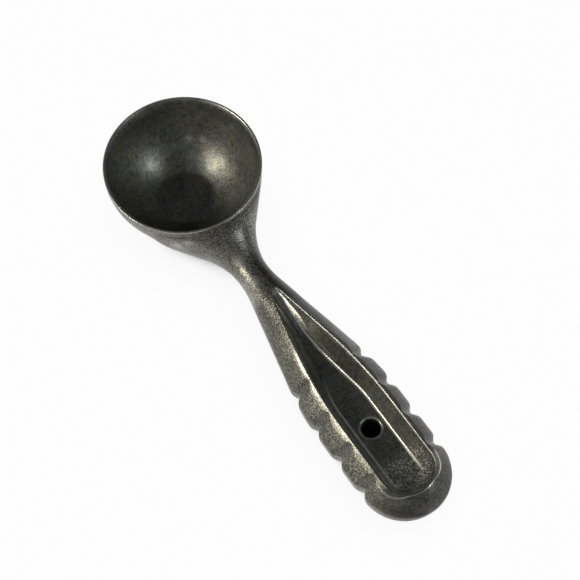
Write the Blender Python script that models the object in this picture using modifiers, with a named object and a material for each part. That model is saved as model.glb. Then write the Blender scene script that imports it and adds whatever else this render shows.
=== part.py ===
"""Cast aluminium ice cream scoop: a round cup, a waisted neck and a finger grip with a long trough.

The scoop is one casting. It is laid out here as three solids that meet at two hairline joints, both square
to the handle: the cup with its flare, the neck, and the grip.

X runs from the cup to the end of the grip, Z is up, and the origin is the middle of the cup's flat
underside. Lengths are in metres.
"""

import math

import bmesh
import bpy

MM = 0.001

# Cup: a ball cut through its middle by the rim and cut off flat below.
CUP_RADIUS = 29.0 * MM
CUP_FLAT_CUT = 2.0 * MM
CUP_HEIGHT = CUP_RADIUS - CUP_FLAT_CUT
CUP_WALL = 2.1 * MM
CUP_FLOOR = 2.4 * MM
RIM_LAND = 0.45 * MM
RIM_BEVEL_DEPTH = 2.2 * MM

# Neck: the waist between the cup and the grip.
NECK_REACH = 17.2 * MM
NECK_DISTANCE = CUP_RADIUS + NECK_REACH
NECK_RADIUS = 6.0 * MM
NECK_DROP = 14.1 * MM
NECK_AXIS_HEIGHT = CUP_HEIGHT - NECK_DROP

# Flare: spreads from the neck until it runs into the cup.
FLARE_FILLET = 24.5 * MM
FLARE_BELLY_FILLET = 24.5 * MM
FLARE_SQUARENESS = 2.4
FLARE_STEP = 0.6 * MM
SEAT_DEPTH = 0.1 * MM

# Grip: its outline in plan, its side view and the finger notches.
GRIP_LENGTH = 108.8 * MM
GRIP_END = NECK_DISTANCE + GRIP_LENGTH
GRIP_HALF_WIDTH = 16.3 * MM
GRIP_TAPER = 0.207
GRIP_TAPER_FILLET = 50.0 * MM
GRIP_SHOULDER_FILLET = 100.0 * MM
GRIP_END_LENGTH = 17.8 * MM
GRIP_END_ROUNDNESS = 2.0
GRIP_TOP_SQUARENESS = 1.4
GRIP_BOTTOM_SQUARENESS = 2.7
GRIP_WIDEST_RISE = 1.1 * MM
GRIP_WIDEST_HEIGHT = NECK_AXIS_HEIGHT + GRIP_WIDEST_RISE
GRIP_UNDERSIDE_HEIGHT = 0.5 * MM
GRIP_TOP_RISE = 18.0 * MM
GRIP_BELLY_REACH = 63.8 * MM
NOTCH_COUNT = 4
NOTCH_PITCH = 13.6 * MM
NOTCH_DEPTH = 1.9 * MM
LAST_NOTCH_REACH = 19.4 * MM
LAST_NOTCH = GRIP_END - LAST_NOTCH_REACH
NOTCH_SHARPNESS = 10

# Trough: runs along the top of the grip from a narrow front to a round end.
TROUGH_FRONT_REACH = 10.8 * MM
TROUGH_FRONT = NECK_DISTANCE + TROUGH_FRONT_REACH
TROUGH_FRONT_HALF_WIDTH = 1.45 * MM
TROUGH_TAPER = 0.202
TROUGH_ROUNDING = 3.4 * MM
TROUGH_HALF_WIDTH = 10.05 * MM
TROUGH_RIM_RISE = 7.5 * MM
TROUGH_RIM_HEIGHT = GRIP_WIDEST_HEIGHT + TROUGH_RIM_RISE
TROUGH_DEPTH = 6.7 * MM
TROUGH_FLOOR_HEIGHT = TROUGH_RIM_HEIGHT - TROUGH_DEPTH
TROUGH_SINK_LENGTH = 27.0 * MM
TROUGH_GROOVE_HALF_WIDTH = 1.2 * MM
TROUGH_FLOOR_HALF_WIDTH = 5.5 * MM
TROUGH_FLOOR_REACH = 38.8 * MM
TROUGH_FLOOR_STARTS_AT = NECK_DISTANCE + TROUGH_FLOOR_REACH
TROUGH_FLOOR_OPENING_LENGTH = 24.0 * MM
TROUGH_END_REACH = 15.6 * MM
TROUGH_END_CENTRE = GRIP_END - TROUGH_END_REACH
TROUGH_OVERCUT = 1.25

# Hang hole through the floor of the trough.
HOLE_RADIUS = 3.5 * MM
HOLE_REACH = 36.0 * MM
HOLE_DISTANCE = GRIP_END - HOLE_REACH
HOLE_CHAMFER = 0.7 * MM

# Where the casting is parted, and the hairline that keeps its solids apart.
CUP_JOINT_REACH = 6.2 * MM
CUP_JOINT = NECK_DISTANCE - CUP_JOINT_REACH
GRIP_JOINT_REACH = 4.8 * MM
GRIP_JOINT = NECK_DISTANCE + GRIP_JOINT_REACH
JOINT_GAP = 0.3 * MM

# Facets.
RING_POINTS = 44
TURN_STEPS = 72
ARC_STEPS = 12

MERGE_DISTANCE = 0.00001
CUT_MARGIN = 3.0 * MM

ALUMINIUM = (0.20, 0.195, 0.175, 1.0)


def ease(value, start, end):
    """Rises smoothly from 0 at start to 1 at end."""
    t = min(max((value - start) / (end - start), 0.0), 1.0)
    return t * t * (3.0 - 2.0 * t)


def mix(first, second, share):
    return first + (second - first) * share


def ball_radius(x):
    """Radius of the cup's outer ball where it is cut square to the handle at x."""
    return math.sqrt(max(CUP_RADIUS ** 2 - x ** 2, 0.0))


def flare_spread(x, neck_edge, fillet):
    """Distance from the ball's middle line of a flare that touches the ball and is filleted to the neck.

    neck_edge is the distance of the neck's edge from the same line.
    """
    fillet_centre = neck_edge + fillet
    span = math.hypot(NECK_DISTANCE, fillet_centre)
    slope = math.asin((CUP_RADIUS + fillet) / span) - math.atan2(fillet_centre, NECK_DISTANCE)
    if x < CUP_RADIUS * math.sin(slope):
        return ball_radius(x) - SEAT_DEPTH
    from_neck = NECK_DISTANCE - x
    if from_neck < fillet * math.sin(slope):
        return fillet_centre - math.sqrt(fillet ** 2 - from_neck ** 2)
    rise = from_neck - fillet * math.sin(slope)
    return neck_edge + fillet * (1.0 - math.cos(slope)) + rise * math.tan(slope)


def taper_half_width(x):
    """Half-width of the grip between the neck and its fullest part, before the notches."""
    angle = math.atan(GRIP_TAPER)
    from_neck = x - NECK_DISTANCE
    if from_neck < GRIP_TAPER_FILLET * math.sin(angle):
        return NECK_RADIUS + GRIP_TAPER_FILLET - math.sqrt(GRIP_TAPER_FILLET ** 2 - from_neck ** 2)
    base = NECK_RADIUS + GRIP_TAPER_FILLET * (1.0 - math.cos(angle))
    return base + (from_neck - GRIP_TAPER_FILLET * math.sin(angle)) * GRIP_TAPER


def crest_half_width(x):
    """Half-width over the crests between the notches: the taper, rounded into the full width."""
    angle = math.atan(GRIP_TAPER)
    reach = GRIP_SHOULDER_FILLET * math.tan(angle / 2.0)
    straight_start = NECK_DISTANCE + GRIP_TAPER_FILLET * math.sin(angle)
    straight_base = NECK_RADIUS + GRIP_TAPER_FILLET * (1.0 - math.cos(angle))
    corner = straight_start + (GRIP_HALF_WIDTH - straight_base) / GRIP_TAPER
    if x <= corner - reach * math.cos(angle):
        return taper_half_width(x)
    if x >= corner + reach:
        return GRIP_HALF_WIDTH
    from_full = corner + reach - x
    return GRIP_HALF_WIDTH - GRIP_SHOULDER_FILLET + math.sqrt(GRIP_SHOULDER_FILLET ** 2 - from_full ** 2)


def notch_cut(x):
    """Depth of the finger notches at x: narrow dips between broad crests."""
    notches_back = (LAST_NOTCH - x) / NOTCH_PITCH
    if not -0.5 < notches_back < NOTCH_COUNT - 0.5:
        return 0.0
    return NOTCH_DEPTH * abs(math.cos(math.pi * notches_back)) ** NOTCH_SHARPNESS


def end_rounding(x, power):
    """Share of the section left as the grip rounds off to its end."""
    t = (x - (GRIP_END - GRIP_END_LENGTH)) / GRIP_END_LENGTH
    return (1.0 - min(max(t, 0.0), 1.0) ** power) ** (1.0 / power)


def half_width(x):
    if x < NECK_DISTANCE:
        return flare_spread(x, NECK_RADIUS, FLARE_FILLET)
    return (crest_half_width(x) - notch_cut(x)) * end_rounding(x, GRIP_END_ROUNDNESS)


def widest_height(x):
    """Height at which the section at x is widest."""
    if x < NECK_DISTANCE:
        share = ease(x, CUP_RADIUS / 3.0, NECK_DISTANCE)
        return mix(CUP_HEIGHT, NECK_AXIS_HEIGHT, share)
    return mix(NECK_AXIS_HEIGHT, GRIP_WIDEST_HEIGHT, ease(x, NECK_DISTANCE, TROUGH_FLOOR_STARTS_AT))


def trough_half_width(x):
    """Half-width of the trough's rim: a straight taper, rounded into the full width."""
    taper = TROUGH_FRONT_HALF_WIDTH + TROUGH_TAPER * (x - TROUGH_FRONT)
    overlap = max(TROUGH_ROUNDING - abs(taper - TROUGH_HALF_WIDTH), 0.0)
    return max(min(taper, TROUGH_HALF_WIDTH) - overlap ** 2 / (4.0 * TROUGH_ROUNDING), 0.0)


def top_squareness(x):
    """Power of the upper half's curve: round at the neck, with straighter flanks beside the trough."""
    return mix(2.0, GRIP_TOP_SQUARENESS, ease(x, GRIP_JOINT, TROUGH_FRONT + GRIP_TOP_RISE))


def crown_height(x):
    """Height of the grip's crown that brings its skin to the trough's level rim."""
    share = trough_half_width(x) / (crest_half_width(x) - notch_cut(x))
    power = top_squareness(x)
    middle = widest_height(x)
    return middle + (TROUGH_RIM_HEIGHT - middle) / (1.0 - share ** power) ** (1.0 / power)


def top_height(x):
    neck_top = NECK_AXIS_HEIGHT + NECK_RADIUS
    if x < NECK_DISTANCE:
        return mix(CUP_HEIGHT - FLARE_STEP, neck_top, ease(x, CUP_RADIUS - CUP_WALL, NECK_DISTANCE))
    full = mix(neck_top, crown_height(x), ease(x, NECK_DISTANCE, NECK_DISTANCE + GRIP_TOP_RISE))
    return mix(widest_height(x), full, end_rounding(x, GRIP_END_ROUNDNESS))


def bottom_height(x):
    if x < NECK_DISTANCE:
        neck_drop = CUP_HEIGHT - NECK_AXIS_HEIGHT + NECK_RADIUS
        return max(CUP_HEIGHT - flare_spread(x, neck_drop, FLARE_BELLY_FILLET), SEAT_DEPTH)
    neck_bottom = NECK_AXIS_HEIGHT - NECK_RADIUS
    drop = ease(x, NECK_DISTANCE, NECK_DISTANCE + GRIP_BELLY_REACH)
    full = mix(neck_bottom, GRIP_UNDERSIDE_HEIGHT, drop)
    return mix(widest_height(x), full, end_rounding(x, GRIP_END_ROUNDNESS))


def bottom_squareness(x):
    """Power of the lower half's curve, which is fuller under the flare and the grip than at the neck."""
    if x < NECK_DISTANCE:
        swell = ease(x, CUP_RADIUS / 3.0, CUP_RADIUS * 2.0 / 3.0) - ease(x, CUP_RADIUS, NECK_DISTANCE)
        return mix(2.0, FLARE_SQUARENESS, swell)
    return mix(2.0, GRIP_BOTTOM_SQUARENESS, ease(x, NECK_DISTANCE, TROUGH_FLOOR_STARTS_AT))


def section_point(x, angle):
    """Point of the outer skin at x, by angle from the top of the section."""
    middle = widest_height(x)
    above = math.cos(angle) >= 0.0
    power = 2.0 / (top_squareness(x) if above else bottom_squareness(x))
    reach = top_height(x) - middle if above else middle - bottom_height(x)
    y = math.copysign(abs(math.sin(angle)) ** power, math.sin(angle)) * half_width(x)
    z = math.copysign(abs(math.cos(angle)) ** power, math.cos(angle)) * reach
    return (x, y, middle + z)


def skin_height(x, y):
    """Height of the outer skin's upper side at x and y."""
    share = min(abs(y) / half_width(x), 1.0)
    power = top_squareness(x)
    middle = widest_height(x)
    return middle + (top_height(x) - middle) * (1.0 - share ** power) ** (1.0 / power)


def spaced(start, end, step):
    """Evenly spaced stations from start to end, about step apart."""
    count = max(round((end - start) / step), 1)
    return [mix(start, end, i / count) for i in range(count + 1)]


def grip_stations():
    """Stations of the grip: close together where the notches and the round end turn fastest."""
    first_notch = LAST_NOTCH - (NOTCH_COUNT - 1) * NOTCH_PITCH
    half_pitch = NOTCH_PITCH / 2.0
    shares = [-0.76, -0.56, -0.4, -0.26, -0.13, 0.0, 0.13, 0.26, 0.4, 0.56, 0.76]
    stations = spaced(GRIP_JOINT + JOINT_GAP / 2.0, first_notch - half_pitch, 4.0 * MM)
    for i in range(NOTCH_COUNT):
        notch = first_notch + i * NOTCH_PITCH
        stations += [notch + share * half_pitch for share in shares]
        stations.append(notch + half_pitch)
    last_crest = stations[-1]
    to_end = GRIP_END - last_crest
    stations += [last_crest + to_end * math.sin(math.radians(angle)) for angle in range(9, 91, 9)]
    return stations


def collection(name):
    made = bpy.data.collections.new(name)
    bpy.context.scene.collection.children.link(made)
    return made


def material(name, roughness):
    made = bpy.data.materials.new(name)
    made.use_nodes = True
    shader = made.node_tree.nodes["Principled BSDF"]
    shader.inputs["Base Color"].default_value = ALUMINIUM
    shader.inputs["Metallic"].default_value = 0.9
    shader.inputs["Roughness"].default_value = roughness
    made.diffuse_color = ALUMINIUM
    return made


def add_object(name, mesh, home):
    mesh.shade_smooth()
    mesh.set_sharp_from_angle(angle=math.radians(35.0))
    made = bpy.data.objects.new(name, mesh)
    home.objects.link(made)
    if home.name.endswith("cutters"):
        made.hide_render = True
        made.display_type = "WIRE"
    return made


def mesh_from(name, build):
    """Mesh filled in by build, which receives an empty bmesh."""
    made = bpy.data.meshes.new(name)
    work = bmesh.new()
    build(work)
    bmesh.ops.recalc_face_normals(work, faces=work.faces)
    work.to_mesh(made)
    work.free()
    return made


def loft(name, rings, home, tapers_out=False):
    """Closed solid through rings of points; one that tapers out ends in a point or a line, not in a cap."""

    def build(work):
        loops = [[work.verts.new(point) for point in ring] for ring in rings]
        for near, far in zip(loops, loops[1:]):
            for i in range(len(near)):
                j = (i + 1) % len(near)
                work.faces.new((near[i], near[j], far[j], far[i]))
        work.faces.new(loops[0])
        if tapers_out:
            bmesh.ops.remove_doubles(work, verts=work.verts, dist=MERGE_DISTANCE)
        else:
            work.faces.new(loops[-1])

    return add_object(name, mesh_from(name, build), home)


def turned(name, profile, home):
    """Solid turned about Z from a profile of (radius, height) that runs top to bottom."""

    def build(work):
        points = [work.verts.new((radius, 0.0, height)) for radius, height in profile]
        for above, below in zip(points, points[1:]):
            work.edges.new((above, below))

    made = add_object(name, mesh_from(name, build), home)
    screw = made.modifiers.new("turn", "SCREW")
    screw.steps = TURN_STEPS
    screw.render_steps = TURN_STEPS
    screw.use_merge_vertices = True
    screw.merge_threshold = MERGE_DISTANCE
    screw.use_smooth_shade = True
    return made


def cone(name, bottom_radius, top_radius, bottom, top, x, home):
    """Upright cone or cylinder between two heights, centred at x."""

    def build(work):
        bmesh.ops.create_cone(
            work,
            cap_ends=True,
            segments=48,
            radius1=bottom_radius,
            radius2=top_radius,
            depth=top - bottom,
        )

    made = add_object(name, mesh_from(name, build), home)
    made.location = (x, 0.0, (bottom + top) / 2.0)
    return made


def combine(target, other, operation):
    step = target.modifiers.new(f"{operation.lower()} {other.name}", "BOOLEAN")
    step.operation = operation
    step.solver = "EXACT"
    step.object = other


def ball_profile(radius, top, bottom):
    """Points of a ball's outline, centred on the rim plane, from one height down to another."""
    from_angle = math.asin((CUP_HEIGHT - top) / radius)
    to_angle = math.asin((CUP_HEIGHT - bottom) / radius)
    angles = [mix(from_angle, to_angle, i / ARC_STEPS) for i in range(ARC_STEPS + 1)]
    return [(radius * math.cos(a), CUP_HEIGHT - radius * math.sin(a)) for a in angles]


def skin_ring(x):
    turns = [2.0 * math.pi * i / RING_POINTS for i in range(RING_POINTS)]
    return [section_point(x, angle) for angle in turns]


def make_bowl(parts, cutters):
    """The cup and the flare on its side, hollowed by one turned cutter."""
    outside = [(0.0, CUP_HEIGHT)] + ball_profile(CUP_RADIUS, CUP_HEIGHT, 0.0) + [(0.0, 0.0)]
    bowl = turned("bowl", outside, parts)

    stations = spaced(CUP_RADIUS / 3.0, CUP_JOINT - JOINT_GAP / 2.0, 1.5 * MM)
    flare = loft("flare", [skin_ring(x) for x in stations], cutters)

    inner = CUP_RADIUS - CUP_WALL
    bevel_bottom = CUP_HEIGHT - RIM_BEVEL_DEPTH
    lip = CUP_RADIUS - RIM_LAND
    hollow = [(0.0, CUP_HEIGHT + CUT_MARGIN), (lip, CUP_HEIGHT + CUT_MARGIN), (lip, CUP_HEIGHT)]
    hollow += ball_profile(inner, bevel_bottom, CUP_FLOOR) + [(0.0, CUP_FLOOR)]
    cavity = turned("cup_cavity", hollow, cutters)

    combine(bowl, flare, "UNION")
    combine(bowl, cavity, "DIFFERENCE")
    bowl.data.materials.append(material("bowl_aluminium", 0.45))
    return bowl


def make_neck(parts):
    """The round waist between the flare and the grip."""
    stations = spaced(CUP_JOINT + JOINT_GAP / 2.0, GRIP_JOINT - JOINT_GAP / 2.0, 2.0 * MM)
    neck = loft("neck", [skin_ring(x) for x in stations], parts)
    neck.data.materials.append(material("neck_aluminium", 0.5))
    return neck


def trough_floor(x):
    """Half-width and height of the trough's floor at x, which starts as the bottom of a groove."""
    opened = ease(x, TROUGH_FLOOR_STARTS_AT, TROUGH_FLOOR_STARTS_AT + TROUGH_FLOOR_OPENING_LENGTH)
    groove = min(TROUGH_GROOVE_HALF_WIDTH, trough_half_width(x) / 3.0)
    sink = min((x - TROUGH_FRONT) / TROUGH_SINK_LENGTH, 1.0) ** 0.8
    return mix(groove, TROUGH_FLOOR_HALF_WIDTH, opened), mix(skin_height(x, 0.0), TROUGH_FLOOR_HEIGHT, sink)


def trough_side(x):
    """One side of the trough's section as (half-width, height): floor edge, and a point just past the rim."""
    rim = trough_half_width(x)
    floor, bottom = trough_floor(x)
    past_rim = mix(floor, rim, TROUGH_OVERCUT)
    past_height = mix(bottom, skin_height(x, rim), TROUGH_OVERCUT)
    return floor, bottom, past_rim, past_height


def trough_ring(x, turn=0.0):
    """Section of the trough's cutter at x, or swung by turn about the centre of its round end."""
    floor, bottom, past_rim, past_height = trough_side(x)
    above_crown = TROUGH_RIM_HEIGHT + GRIP_HALF_WIDTH
    corners = [(floor, bottom), (past_rim, past_height), (past_rim, above_crown)]
    near = [(x + r * math.sin(turn), r * math.cos(turn), z) for r, z in corners]
    return near + [(px, -py, pz) for px, py, pz in reversed(near)]


def make_grip(parts, cutters):
    """The notched grip with its trough and hang hole."""
    grip = loft("grip", [skin_ring(x) for x in grip_stations()], parts, tapers_out=True)

    stations = spaced(TROUGH_FRONT + JOINT_GAP, TROUGH_END_CENTRE, 2.5 * MM)
    rings = [trough_ring(x) for x in stations]
    turns = [math.pi / 2.0 * i / ARC_STEPS for i in range(1, ARC_STEPS + 1)]
    rings += [trough_ring(TROUGH_END_CENTRE, turn) for turn in turns]
    trough = loft("trough", rings, cutters, tapers_out=True)

    hole = cone(
        "hang_hole",
        HOLE_RADIUS,
        HOLE_RADIUS,
        -CUT_MARGIN,
        TROUGH_RIM_HEIGHT,
        HOLE_DISTANCE,
        cutters,
    )
    chamfer = cone(
        "hang_hole_chamfer",
        HOLE_RADIUS,
        HOLE_RADIUS + 2.0 * HOLE_CHAMFER,
        TROUGH_FLOOR_HEIGHT - HOLE_CHAMFER,
        TROUGH_FLOOR_HEIGHT + HOLE_CHAMFER,
        HOLE_DISTANCE,
        cutters,
    )
    for cutter in (trough, hole, chamfer):
        combine(grip, cutter, "DIFFERENCE")
    grip.data.materials.append(material("grip_aluminium", 0.5))
    return grip


def main():
    for old in list(bpy.data.objects):
        bpy.data.objects.remove(old)
    parts = collection("ice_cream_scoop")
    cutters = collection("ice_cream_scoop_cutters")
    make_bowl(parts, cutters)
    make_neck(parts)
    make_grip(parts, cutters)


main()
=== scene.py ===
"""Dresses the packed ice cream scoop as one worn aluminium casting, lit and framed as in the photograph.

The whole skin is one grid of rings, like a sock: it starts in the bottom of the cup, climbs to the rim, comes
down outside, gathers to the neck and runs along the grip to its round end. X runs along the handle from the
cup's middle, and Z is up. Left and right are those of the photograph, where Y grows to the right. Lengths are
in millimetres until the mesh is made.
"""

import math

import bmesh
import bpy
import numpy as np
from mathutils import Matrix, Vector


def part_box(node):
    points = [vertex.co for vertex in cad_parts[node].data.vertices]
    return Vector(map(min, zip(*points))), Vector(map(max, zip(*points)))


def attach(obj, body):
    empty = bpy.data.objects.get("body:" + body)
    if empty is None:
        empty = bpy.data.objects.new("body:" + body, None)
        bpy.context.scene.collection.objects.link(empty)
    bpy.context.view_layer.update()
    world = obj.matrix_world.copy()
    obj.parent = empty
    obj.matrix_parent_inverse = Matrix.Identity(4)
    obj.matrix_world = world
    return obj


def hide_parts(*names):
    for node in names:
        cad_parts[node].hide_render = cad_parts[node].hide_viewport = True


MM = 0.001

# Squareness is the power of a section's superellipse: 1 slopes straight, 2 is an ellipse, more is boxier.
ROUND = 2.0

# A profile is a first level, then steps (from, to, level), each taken smoothly. Unless it says otherwise, its
# places are distances along the handle from the cup's middle.

# Cup, below the rim plane.
CUP_WALL = 2.1
CUP_FLOOR = 2.4
CUP_FLAT_SHARE = 0.96
CUP_CORNER_ANGLE = 0.02
RIM_LAND = 0.8
RIM_EDGE_RADIUS = 0.22
RIM_BEVEL_DEPTH = 2.2
RIM_BEVEL_BLEND = 1.4
RIM_CREST_BLEND = 0.3
FLAT_EDGE_BLEND = 1.2

# Neck and flare: the flare sinks into the cup's ball by its seat and is blended into it.
NECK_REACH = 17.2
NECK_RADIUS = 6.0
NECK_DROP = 14.1
FLARE_FILLET = 24.5
FLARE_SQUARENESS = 2.4
FLARE_SWELL_START = 0.38
FLARE_SWELL_END = 0.8
FLARE_STEP = 0.3
SEAT_DEPTH = 0.1
SEAT_GROWTH = 0.03
FLARE_BLEND = 1.8
FLARE_BLEND_AT_RIM = 0.3
FLARE_BLEND_DEPTHS = (6.0, 15.0)

# Grip. Its taper is rounded into the half-width. Where it gets squared is measured from the trough's front.
GRIP_HALF_WIDTH = 16.5
GRIP_TAPER = 0.211
GRIP_TAPER_FILLET = 39.0
GRIP_SHOULDER_FILLET = 100.0
GRIP_END_LENGTH = 17.8
GRIP_WIDEST_RISE = 1.6
GRIP_TOP_RISE = 18.0
GRIP_BELLY_REACH = 63.8
FRONT_TOP_SQUARENESS = 1.45
FRONT_TOP_SQUARED = (-3.0, 13.0)
GRIP_TOP_SQUARENESS = 1.1
GRIP_TOP_SQUARED = (15.0, 33.0)
END_TOP_SQUARENESS = 1.3
END_TOP_LEAD = 4.0
GRIP_BOTTOM_SQUARENESS = 2.6
GRIP_BOTTOM_SQUARED = 15.0
TOP_EDGE_LIMIT = 0.9
NOTCH_COUNT = 4
NOTCH_PITCH = 13.6
NOTCH_DEPTH = 1.9
LAST_NOTCH_FROM_END = 19.4
NOTCH_SHARPNESS = 10

# Trough: its rim has a narrow inner chamfer and a bevelled band outside. Turns are angles round its end, in
# radians. The floor is at most a share of the rim's half-width, and somewhat more where it has opened.
TROUGH_TIP_FROM_NECK = 3.7
TROUGH_FRONT_FROM_NECK = 10.8
TROUGH_FRONT_LENGTH = 3.6
TROUGH_FRONT_DEPTH = 0.6
TROUGH_TAPER = 0.202
TROUGH_ROUNDING = 3.4
TROUGH_HALF_WIDTH = 10.05
TROUGH_END_REACH = 9.5
TROUGH_END_CENTRE_FROM_END = 15.6
TROUGH_RIM_RISE = 7.0
TROUGH_RIM_LEVELLING = 6.0
TROUGH_RIM_LEVEL_TURNS = (0.2, 1.2)
TROUGH_DEPTH = 6.7
TROUGH_SINK_LENGTH = 27.0
TROUGH_SINK_POWER = 0.8
TROUGH_FLOOR_HALF_WIDTH = 5.85
TROUGH_FLOOR_FROM_NECK = 36.0
TROUGH_FLOOR_OPENING_LENGTH = 27.0
TROUGH_FLOOR_SHARE = 0.55
TROUGH_FLOOR_EXTRA = 4.0
TROUGH_FLOOR_OFFSET = -0.35
CHAMFER_WIDTH = 0.42
CHAMFER_DEPTH = 0.45
CHAMFER_FULL_FROM = 4.0
BAND_WIDTH = 1.7
BAND_DROP = 1.25
BAND_OPENING_LENGTH = 34.0
BAND_FRONT_SHARE = 0.15
BAND_NOTCH_LOSS = 0.6
BAND_BY_TURN = (1.0, (0.4, 1.2, 0.15))
SEED_WIDTH = 1.2

# The groove at the trough's front, its lit slope, and the foot of the walls behind it.
GROOVE_HALF_WIDTH = 0.95
GROOVE_WIDENING = (1.7, (60.0, 68.0, 1.0), (74.0, 84.0, 2.0))
GROOVE_OFFSET = 0.3
GROOVE_OFFSET_ENDS = (5.0, 20.0)
GROOVE_SLOPE = 38.0
GROOVE_SLOPE_REACH = (0.95, (61.0, 68.0, 0.68))
GROOVE_SLOPE_LIMIT = 0.65
GROOVE_SLOPE_ENDS = (12.0, 21.0)
GROOVE_FOOT_BLEND = 0.4
WALL_FOOT_BLEND = 0.8
WALL_FOOT_REACH = 0.3
WALL_FOOT_RISE = 0.3
END_FOOT_BLEND = 1.8
END_FOOT_TURNS = (0.1, 0.8)
END_FOOT_REACH = 0.15
UPPER_CORNER_BLENDS = (0.3, 0.15, 0.2, 0.25)

# Hang hole.
HOLE_RADIUS = 3.5
HOLE_FROM_END = 36.0
HOLE_EDGE_RADIUS = 0.7
HOLE_CUTTER_MARGIN = 3.0

# The skin is found along rays from inside it, whose reach is halved again and again.
MIN_HALF_WIDTH = 0.02
MIN_REACH = 0.3
MIN_SWELL = 1e-6
UPWARD_REACH = 20.0
AROUND_REACH = 40.0
FLARE_REACH = 60.0
HALVINGS = 30

# How finely the skin is divided, what is welded, and which edges stay sharp. A corner's rounding takes up no
# more than BLEND_LIMIT of the lines beside it.
FLOOR_LINES = 8
BLEND_LINES = 6
SLOPE_LINES = 4
WALL_LINES = 6
CHAMFER_LINES = 2
BAND_LINES = 4
SKIN_LINES = 66
CUP_FLAT_ROWS = 9
CUP_ROWS = 44
BEVEL_ROWS = 8
CREST_ROWS = 6
RIM_EDGE_ROWS = 5
FLARE_ROWS = 100
FLARE_ROW_SPACING = 1.6
GRIP_STEP = 0.45
END_TURNS = 40
HOLE_STEPS = 64
HOLE_EDGE_STEPS = 5
WELD_DISTANCE = 0.004
SHORTEST_EDGE = 0.001
SHARP_ANGLE = 38.0
BLEND_LIMIT = 0.45

# The line of each ring where the trough's foot, slope, lip, rim and band edge begin.
FOOT_LINE = FLOOR_LINES
SLOPE_LINE = FOOT_LINE + BLEND_LINES + SLOPE_LINES
LIP_LINE = SLOPE_LINE + BLEND_LINES + WALL_LINES
RIM_LINE = LIP_LINE + BLEND_LINES + CHAMFER_LINES
EDGE_LINE = RIM_LINE + BLEND_LINES + BAND_LINES

# Painted highlights and painted light and shade on the trough, in stripes: the sides, the first line, the
# line after the last, and the profiles, which are multiplied. A tone of 1 is plain.
RIGHT, LEFT, BOTH = (1,), (-1,), (1, -1)
LEFT_RIM_HIGHLIGHT = (0.0, (78.0, 88.0, 0.85), (95.0, 106.0, 0.45), (118.0, 136.0, -0.05))
RIGHT_WALL_PAINTED_LIGHT = (2.3, (70.0, 90.0, 0.5), (94.0, 110.0, 1.2), (128.0, 135.0, 0.6))
RIGHT_SLOPE_PAINTED_LIGHT = (*RIGHT_WALL_PAINTED_LIGHT[:2], (74.0, 79.0, 1.7), (86.0, 94.0, 0.5), *RIGHT_WALL_PAINTED_LIGHT[2:])
# Highlight lines painted as bright metal along the trough's feet, rims, band and end.
TROUGH_PAINTED_HIGHLIGHTS = (
    (BOTH, 0, FOOT_LINE + 1, (0.0, (57.0, 60.6, 0.3), (70.0, 79.0, 0.0))),
    (BOTH, FOOT_LINE + 1, SLOPE_LINE + BLEND_LINES, (0.5, (67.0, 74.0, 0.0))),
    (RIGHT, FOOT_LINE + 1, FOOT_LINE + BLEND_LINES, (1.0, (80.0, 88.0, 0.6), (138.0, 141.0, 0.0))),
    (RIGHT, LIP_LINE + 2, RIM_LINE + BLEND_LINES, (1.0, (84.0, 98.0, 0.5), (116.0, 134.0, 0.25))),
    (LEFT, FOOT_LINE + 1, FOOT_LINE + BLEND_LINES, (0.0, (94.0, 106.0, 1.0), (142.0, 146.0, 0.0))),
    (LEFT, LIP_LINE + 2, RIM_LINE + BLEND_LINES, LEFT_RIM_HIGHLIGHT),
    (LEFT, RIM_LINE + BLEND_LINES, EDGE_LINE - 1, LEFT_RIM_HIGHLIGHT, (0.7, (86.0, 98.0, 0.35))),
    (RIGHT, EDGE_LINE, EDGE_LINE + BLEND_LINES, (0.0, (138.0, 140.5, 0.9))),
    (LEFT, EDGE_LINE, EDGE_LINE + BLEND_LINES, (0.0, (138.0, 140.5, 0.63))),
)
# Painted light and shade on the groove's floor, the walls and the band.
TROUGH_PAINTED_LIGHT = (
    (BOTH, 0, RIM_LINE, (1.0,)),
    (BOTH, 0, FOOT_LINE + 1, (1.8, (70.0, 79.0, 1.0))),
    (LEFT, FOOT_LINE + BLEND_LINES, LIP_LINE, (1.9,)),
    (LEFT, LIP_LINE - 3, LIP_LINE - 1, (1.0, (94.0, 106.0, 3.2))),
    (LEFT, RIM_LINE + BLEND_LINES, EDGE_LINE + 1, (1.0, (127.0, 135.0, 0.55))),
    (RIGHT, FOOT_LINE + 1, FOOT_LINE + BLEND_LINES, (1.0, (74.0, 79.0, 2.5), (86.0, 94.0, 1.0))),
    (RIGHT, FOOT_LINE + BLEND_LINES, LIP_LINE, RIGHT_WALL_PAINTED_LIGHT),
    (RIGHT, FOOT_LINE + BLEND_LINES, SLOPE_LINE + 2, RIGHT_SLOPE_PAINTED_LIGHT),
)
TROUGH_HOLLOW = ((BOTH, 0, RIM_LINE + 2, (1.0,)),)

# Painted light and shade on the outside, as paleness: by angle from the top line, growing to each side, and
# along the handle. The right flank, the left flank at the front, the left notches and the grip's end are
# painted darker as shade, and the left side of the neck paler as light.
RIGHT_FLANK_ALONG = (0.0, (40.0, 50.0, 0.68), (137.0, 144.0, 0.0))
RIGHT_FLANK_TOP = (0.0, 12.0)
RIGHT_FLANK_FADE_START = (55.0, (90.0, 100.0, 72.0))
RIGHT_FLANK_FADE_END = 92.0
LEFT_NECK_ALONG = (0.0, (42.0, 50.0, 0.9), (55.0, 62.0, 0.0))
LEFT_NECK_AROUND = (15.0, 45.0)
LEFT_FLANK_ALONG = (0.0, (59.0, 64.0, 0.3), (73.0, 81.0, 0.0))
LEFT_FLANK_AROUND = (0.0, (15.0, 30.0, 1.0), (55.0, 75.0, 0.0))
LEFT_NOTCH_PAINTED_SHADE = 0.15
LEFT_NOTCH_AROUND = (10.0, 30.0)
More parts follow.
